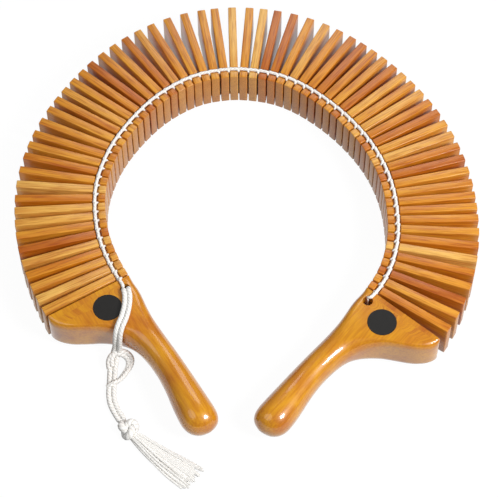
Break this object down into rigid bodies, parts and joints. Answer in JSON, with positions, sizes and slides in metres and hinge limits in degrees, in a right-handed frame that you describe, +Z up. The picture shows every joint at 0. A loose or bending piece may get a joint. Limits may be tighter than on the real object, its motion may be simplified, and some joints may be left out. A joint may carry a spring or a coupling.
{
  "type": "kokiriko clapper",
  "caption": "Folk clapper of many thin wooden slats strung side by side on a twined cotton cord, with a club-shaped wooden handle at each end.",
  "frame": {"origin": "middle of the footprint of the slats and handles, on the table", "axes": "+Z up from the table, +Y from the handles towards the top of the fan, +X towards the right handle"},
  "size_m": [0.3882, 0.452, 0.0399],
  "materials": {
    "slat_wood": "satin lacquered",
    "handle_lacquer": "glossy amber lacquer",
    "white_cotton": "soft white cotton cord"
  },
  "bodies": {
    "left_handle": {"handle_left": "handle_lacquer", "binding_cord": "white_cotton", "tail_over_handle_a": "white_cotton", "tail_over_handle_b": "white_cotton", "loop_knot": "white_cotton", "tail_on_table_a": "white_cotton", "tail_on_table_b": "white_cotton", "end_knot": "white_cotton", "tassel": "white_cotton"},
    "slat_01": {"slat_01": "slat_wood"},
    "slat_02_03": {"slat_02_03": "slat_wood"},
    "slat_04_05": {"slat_04_05": "slat_wood"},
    "slat_06": {"slat_06": "slat_wood"},
    "slat_07": {"slat_07": "slat_wood"},
    "slat_08_09": {"slat_08_09": "slat_wood"},
    "slat_10": {"slat_10": "slat_wood"},
    "slat_11": {"slat_11": "slat_wood"},
    "slat_12": {"slat_12": "slat_wood"},
    "slat_13_14": {"slat_13_14": "slat_wood"},
    "slat_15": {"slat_15": "slat_wood"},
    "slat_16": {"slat_16": "slat_wood"},
    "slat_17_18": {"slat_17_18": "slat_wood"},
    "slat_19_20": {"slat_19_20": "slat_wood"},
    "slat_21_22": {"slat_21_22": "slat_wood"},
    "slat_23": {"slat_23": "slat_wood"},
    "slat_24": {"slat_24": "slat_wood"},
    "slat_25": {"slat_25": "slat_wood"},
    "slat_26": {"slat_26": "slat_wood"},
    "slat_27": {"slat_27": "slat_wood"},
    "slat_28": {"slat_28": "slat_wood"},
    "slat_29": {"slat_29": "slat_wood"},
    "slat_30_31": {"slat_30_31": "slat_wood"},
    "slat_32": {"slat_32": "slat_wood"},
    "slat_33_34": {"slat_33_34": "slat_wood"},
    "slat_35": {"slat_35": "slat_wood"},
    "slat_36": {"slat_36": "slat_wood"},
    "slat_37": {"slat_37": "slat_wood"},
    "slat_38": {"slat_38": "slat_wood"},
    "slat_39": {"slat_39": "slat_wood"},
    "slat_40_41": {"slat_40_41": "slat_wood"},
    "slat_42_43": {"slat_42_43": "slat_wood"},
    "slat_44_45": {"slat_44_45": "slat_wood"},
    "slat_46": {"slat_46": "slat_wood"},
    "slat_47_48": {"slat_47_48": "slat_wood"},
    "slat_49": {"slat_49": "slat_wood"},
    "slat_50_51": {"slat_50_51": "slat_wood"},
    "slat_52": {"slat_52": "slat_wood"},
    "slat_53_54": {"slat_53_54": "slat_wood"},
    "slat_55": {"slat_55": "slat_wood"},
    "slat_56_57": {"slat_56_57": "slat_wood"},
    "slat_58": {"slat_58": "slat_wood"},
    "slat_59": {"slat_59": "slat_wood"},
    "slat_60": {"slat_60": "slat_wood"},
    "slat_61": {"slat_61": "slat_wood"},
    "slat_62": {"slat_62": "slat_wood"},
    "slat_63": {"slat_63": "slat_wood"},
    "slat_64": {"slat_64": "slat_wood"},
    "slat_65": {"slat_65": "slat_wood"},
    "slat_66": {"slat_66": "slat_wood"},
    "right_handle": {"handle_right": "handle_lacquer"}
  },
  "joints": [
    {"name": "hinge_slat_01", "type": "hinge", "parent": "left_handle", "child": "slat_01", "pos_m": [-0.1037, -0.0731, 0.018], "axis": [0, 0, 1], "range_deg": [0, 2.2], "deforming": ["binding_cord"]},
    {"name": "hinge_slat_02_03", "type": "hinge", "parent": "slat_01", "child": "slat_02_03", "pos_m": [-0.10804, -0.06552, 0.018], "axis": [0, 0, 1], "range_deg": [0, 4.1], "deforming": ["binding_cord"]},
    {"name": "hinge_slat_04_05", "type": "hinge", "parent": "slat_02_03", "child": "slat_04_05", "pos_m": [-0.11555, -0.04974, 0.018], "axis": [0, 0, 1], "range_deg": [0, 4.1], "deforming": ["binding_cord"]},
    {"name": "hinge_slat_06", "type": "hinge", "parent": "slat_04_05", "child": "slat_06", "pos_m": [-0.12143, -0.03328, 0.018], "axis": [0, 0, 1], "range_deg": [0, 5.5], "deforming": ["binding_cord"]},
    {"name": "hinge_slat_07", "type": "hinge", "parent": "slat_06", "child": "slat_07", "pos_m": [-0.12353, -0.0248, 0.018], "axis": [0, 0, 1], "range_deg": [0, 5.5], "deforming": ["binding_cord"]},
    {"name": "hinge_slat_08_09", "type": "hinge", "parent": "slat_07", "child": "slat_08_09", "pos_m": [-0.12499, -0.01618, 0.018], "axis": [0, 0, 1], "range_deg": [0, 4.2], "deforming": ["binding_cord"]},
    {"name": "hinge_slat_10", "type": "hinge", "parent": "slat_08_09", "child": "slat_10", "pos_m": [-0.12654, 0.00123, 0.018], "axis": [0, 0, 1], "range_deg": [0, 4.2], "deforming": ["binding_cord"]},
    {"name": "hinge_slat_11", "type": "hinge", "parent": "slat_10", "child": "slat_11", "pos_m": [-0.12663, 0.00997, 0.018], "axis": [0, 0, 1], "range_deg": [0, 6.1], "deforming": ["binding_cord"]},
    {"name": "hinge_slat_12", "type": "hinge", "parent": "slat_11", "child": "slat_12", "pos_m": [-0.12598, 0.01868, 0.018], "axis": [0, 0, 1], "range_deg": [0, 6.1], "deforming": ["binding_cord"]},
    {"name": "hinge_slat_13_14", "type": "hinge", "parent": "slat_12", "child": "slat_13_14", "pos_m": [-0.12458, 0.02731, 0.018], "axis": [0, 0, 1], "range_deg": [0, 6.1], "deforming": ["binding_cord"]},
    {"name": "hinge_slat_15", "type": "hinge", "parent": "slat_13_14", "child": "slat_15", "pos_m": [-0.11992, 0.04415, 0.018], "axis": [0, 0, 1], "range_deg": [0, 3.9], "deforming": ["binding_cord"]},
    {"name": "hinge_slat_16", "type": "hinge", "parent": "slat_15", "child": "slat_16", "pos_m": [-0.11701, 0.05239, 0.018], "axis": [0, 0, 1], "range_deg": [0, 5.6], "deforming": ["binding_cord"]},
    {"name": "hinge_slat_17_18", "type": "hinge", "parent": "slat_16", "child": "slat_17_18", "pos_m": [-0.11346, 0.06038, 0.018], "axis": [0, 0, 1], "range_deg": [0, 5.6], "deforming": ["binding_cord"]},
    {"name": "hinge_slat_19_20", "type": "hinge", "parent": "slat_17_18", "child": "slat_19_20", "pos_m": [-0.10483, 0.07558, 0.018], "axis": [0, 0, 1], "range_deg": [0, 3.8], "deforming": ["binding_cord"]},
    {"name": "hinge_slat_21_22", "type": "hinge", "parent": "slat_19_20", "child": "slat_21_22", "pos_m": [-0.09486, 0.08993, 0.018], "axis": [0, 0, 1], "range_deg": [0, 3.8], "deforming": ["binding_cord"]},
    {"name": "hinge_slat_23", "type": "hinge", "parent": "slat_21_22", "child": "slat_23", "pos_m": [-0.08363, 0.10331, 0.018], "axis": [0, 0, 1], "range_deg": [0, 5.2], "deforming": ["binding_cord"]},
    {"name": "hinge_slat_24", "type": "hinge", "parent": "slat_23", "child": "slat_24", "pos_m": [-0.07741, 0.10946, 0.018], "axis": [0, 0, 1], "range_deg": [0, 5.2], "deforming": ["binding_cord"]},
    {"name": "hinge_slat_25", "type": "hinge", "parent": "slat_24", "child": "slat_25", "pos_m": [-0.07079, 0.11516, 0.018], "axis": [0, 0, 1], "range_deg": [0, 5.2], "deforming": ["binding_cord"]},
    {"name": "hinge_slat_26", "type": "hinge", "parent": "slat_25", "child": "slat_26", "pos_m": [-0.06378, 0.12038, 0.018], "axis": [0, 0, 1], "range_deg": [0, 5.2], "deforming": ["binding_cord"]},
    {"name": "hinge_slat_27", "type": "hinge", "parent": "slat_26", "child": "slat_27", "pos_m": [-0.05643, 0.12511, 0.018], "axis": [0, 0, 1], "range_deg": [0, 5.2], "deforming": ["binding_cord"]},
    {"name": "hinge_slat_28", "type": "hinge", "parent": "slat_27", "child": "slat_28", "pos_m": [-0.04876, 0.1293, 0.018], "axis": [0, 0, 1], "range_deg": [0, 7.3], "deforming": ["binding_cord"]},
    {"name": "hinge_slat_29", "type": "hinge", "parent": "slat_28", "child": "slat_29", "pos_m": [-0.04069, 0.13266, 0.018], "axis": [0, 0, 1], "range_deg": [0, 7.3], "deforming": ["binding_cord"]},
    {"name": "hinge_slat_30_31", "type": "hinge", "parent": "slat_29", "child": "slat_30_31", "pos_m": [-0.03231, 0.13514, 0.018], "axis": [0, 0, 1], "range_deg": [0, 7.3], "deforming": ["binding_cord"]},
    {"name": "hinge_slat_32", "type": "hinge", "parent": "slat_30_31", "child": "slat_32", "pos_m": [-0.01505, 0.13789, 0.018], "axis": [0, 0, 1], "range_deg": [0, 7.2], "deforming": ["binding_cord"]},
    {"name": "hinge_slat_33_34", "type": "hinge", "parent": "slat_32", "child": "slat_33_34", "pos_m": [-0.00632, 0.13815, 0.018], "axis": [0, 0, 1], "range_deg": [0, 7.2], "deforming": ["binding_cord"]},
    {"name": "hinge_slat_35", "type": "hinge", "parent": "slat_33_34", "child": "slat_35", "pos_m": [0.01106, 0.13633, 0.018], "axis": [0, 0, 1], "range_deg": [0, 4.6], "deforming": ["binding_cord"]},
    {"name": "hinge_slat_36", "type": "hinge", "parent": "slat_35", "child": "slat_36", "pos_m": [0.01964, 0.13464, 0.018], "axis": [0, 0, 1], "range_deg": [0, 6.7], "deforming": ["binding_cord"]},
    {"name": "hinge_slat_37", "type": "hinge", "parent": "slat_36", "child": "slat_37", "pos_m": [0.02801, 0.13215, 0.018], "axis": [0, 0, 1], "range_deg": [0, 6.7], "deforming": ["binding_cord"]},
    {"name": "hinge_slat_38", "type": "hinge", "parent": "slat_37", "child": "slat_38", "pos_m": [0.03611, 0.12886, 0.018], "axis": [0, 0, 1], "range_deg": [0, 6.7], "deforming": ["binding_cord"]},
    {"name": "hinge_slat_39", "type": "hinge", "parent": "slat_38", "child": "slat_39", "pos_m": [0.04386, 0.12481, 0.018], "axis": [0, 0, 1], "range_deg": [0, 5.4], "deforming": ["binding_cord"]},
    {"name": "hinge_slat_40_41", "type": "hinge", "parent": "slat_39", "child": "slat_40_41", "pos_m": [0.05128, 0.1202, 0.018], "axis": [0, 0, 1], "range_deg": [0, 5.4], "deforming": ["binding_cord"]},
    {"name": "hinge_slat_42_43", "type": "hinge", "parent": "slat_40_41", "child": "slat_42_43", "pos_m": [0.06519, 0.10961, 0.018], "axis": [0, 0, 1], "range_deg": [0, 3.8], "deforming": ["binding_cord"]},
    {"name": "hinge_slat_44_45", "type": "hinge", "parent": "slat_42_43", "child": "slat_44_45", "pos_m": [0.07807, 0.09781, 0.018], "axis": [0, 0, 1], "range_deg": [0, 3.8], "deforming": ["binding_cord"]},
    {"name": "hinge_slat_46", "type": "hinge", "parent": "slat_44_45", "child": "slat_46", "pos_m": [0.08983, 0.08488, 0.018], "axis": [0, 0, 1], "range_deg": [0, 3.8], "deforming": ["binding_cord"]},
    {"name": "hinge_slat_47_48", "type": "hinge", "parent": "slat_46", "child": "slat_47_48", "pos_m": [0.09526, 0.07803, 0.018], "axis": [0, 0, 1], "range_deg": [0, 3.8], "deforming": ["binding_cord"]},
    {"name": "hinge_slat_49", "type": "hinge", "parent": "slat_47_48", "child": "slat_49", "pos_m": [0.10508, 0.06358, 0.018], "axis": [0, 0, 1], "range_deg": [0, 4.4], "deforming": ["binding_cord"]},
    {"name": "hinge_slat_50_51", "type": "hinge", "parent": "slat_49", "child": "slat_50_51", "pos_m": [0.10937, 0.05597, 0.018], "axis": [0, 0, 1], "range_deg": [0, 4.6], "deforming": ["binding_cord"]},
    {"name": "hinge_slat_52", "type": "hinge", "parent": "slat_50_51", "child": "slat_52", "pos_m": [0.11656, 0.04004, 0.018], "axis": [0, 0, 1], "range_deg": [0, 4.6], "deforming": ["binding_cord"]},
    {"name": "hinge_slat_53_54", "type": "hinge", "parent": "slat_52", "child": "slat_53_54", "pos_m": [0.11944, 0.03179, 0.018], "axis": [0, 0, 1], "range_deg": [0, 4.6], "deforming": ["binding_cord"]},
    {"name": "hinge_slat_55", "type": "hinge", "parent": "slat_53_54", "child": "slat_55", "pos_m": [0.12369, 0.01484, 0.018], "axis": [0, 0, 1], "range_deg": [0, 4.6], "deforming": ["binding_cord"]},
    {"name": "hinge_slat_56_57", "type": "hinge", "parent": "slat_55", "child": "slat_56_57", "pos_m": [0.12506, 0.00621, 0.018], "axis": [0, 0, 1], "range_deg": [0, 4.6], "deforming": ["binding_cord"]},
    {"name": "hinge_slat_58", "type": "hinge", "parent": "slat_56_57", "child": "slat_58", "pos_m": [0.12643, -0.01121, 0.018], "axis": [0, 0, 1], "range_deg": [0, 3.4], "deforming": ["binding_cord"]},
    {"name": "hinge_slat_59", "type": "hinge", "parent": "slat_58", "child": "slat_59", "pos_m": [0.12661, -0.01995, 0.018], "axis": [0, 0, 1], "range_deg": [0, 5.2], "deforming": ["binding_cord"]},
    {"name": "hinge_slat_60", "type": "hinge", "parent": "slat_59", "child": "slat_60", "pos_m": [0.12619, -0.02868, 0.018], "axis": [0, 0, 1], "range_deg": [0, 5.2], "deforming": ["binding_cord"]},
    {"name": "hinge_slat_61", "type": "hinge", "parent": "slat_60", "child": "slat_61", "pos_m": [0.12515, -0.03736, 0.018], "axis": [0, 0, 1], "range_deg": [0, 5.2], "deforming": ["binding_cord"]},
    {"name": "hinge_slat_62", "type": "hinge", "parent": "slat_61", "child": "slat_62", "pos_m": [0.12351, -0.04595, 0.018], "axis": [0, 0, 1], "range_deg": [0, 5.2], "deforming": ["binding_cord"]},
    {"name": "hinge_slat_63", "type": "hinge", "parent": "slat_62", "child": "slat_63", "pos_m": [0.12128, -0.0544, 0.018], "axis": [0, 0, 1], "range_deg": [0, 5.2], "deforming": ["binding_cord"]},
    {"name": "hinge_slat_64", "type": "hinge", "parent": "slat_63", "child": "slat_64", "pos_m": [0.11847, -0.06267, 0.018], "axis": [0, 0, 1], "range_deg": [0, 6.2], "deforming": ["binding_cord"]},
    {"name": "hinge_slat_65", "type": "hinge", "parent": "slat_64", "child": "slat_65", "pos_m": [0.11494, -0.07067, 0.018], "axis": [0, 0, 1], "range_deg": [0, 6.2], "deforming": ["binding_cord"]},
    {"name": "hinge_slat_66", "type": "hinge", "parent": "slat_65", "child": "slat_66", "pos_m": [0.11073, -0.07832, 0.018], "axis": [0, 0, 1], "range_deg": [0, 6.2], "deforming": ["binding_cord"]},
    {"name": "hinge_right_handle", "type": "hinge", "parent": "slat_66", "child": "right_handle", "pos_m": [0.10587, -0.08559, 0.018], "axis": [0, 0, 1], "range_deg": [0, 7.1], "deforming": ["binding_cord"]}
  ]
}
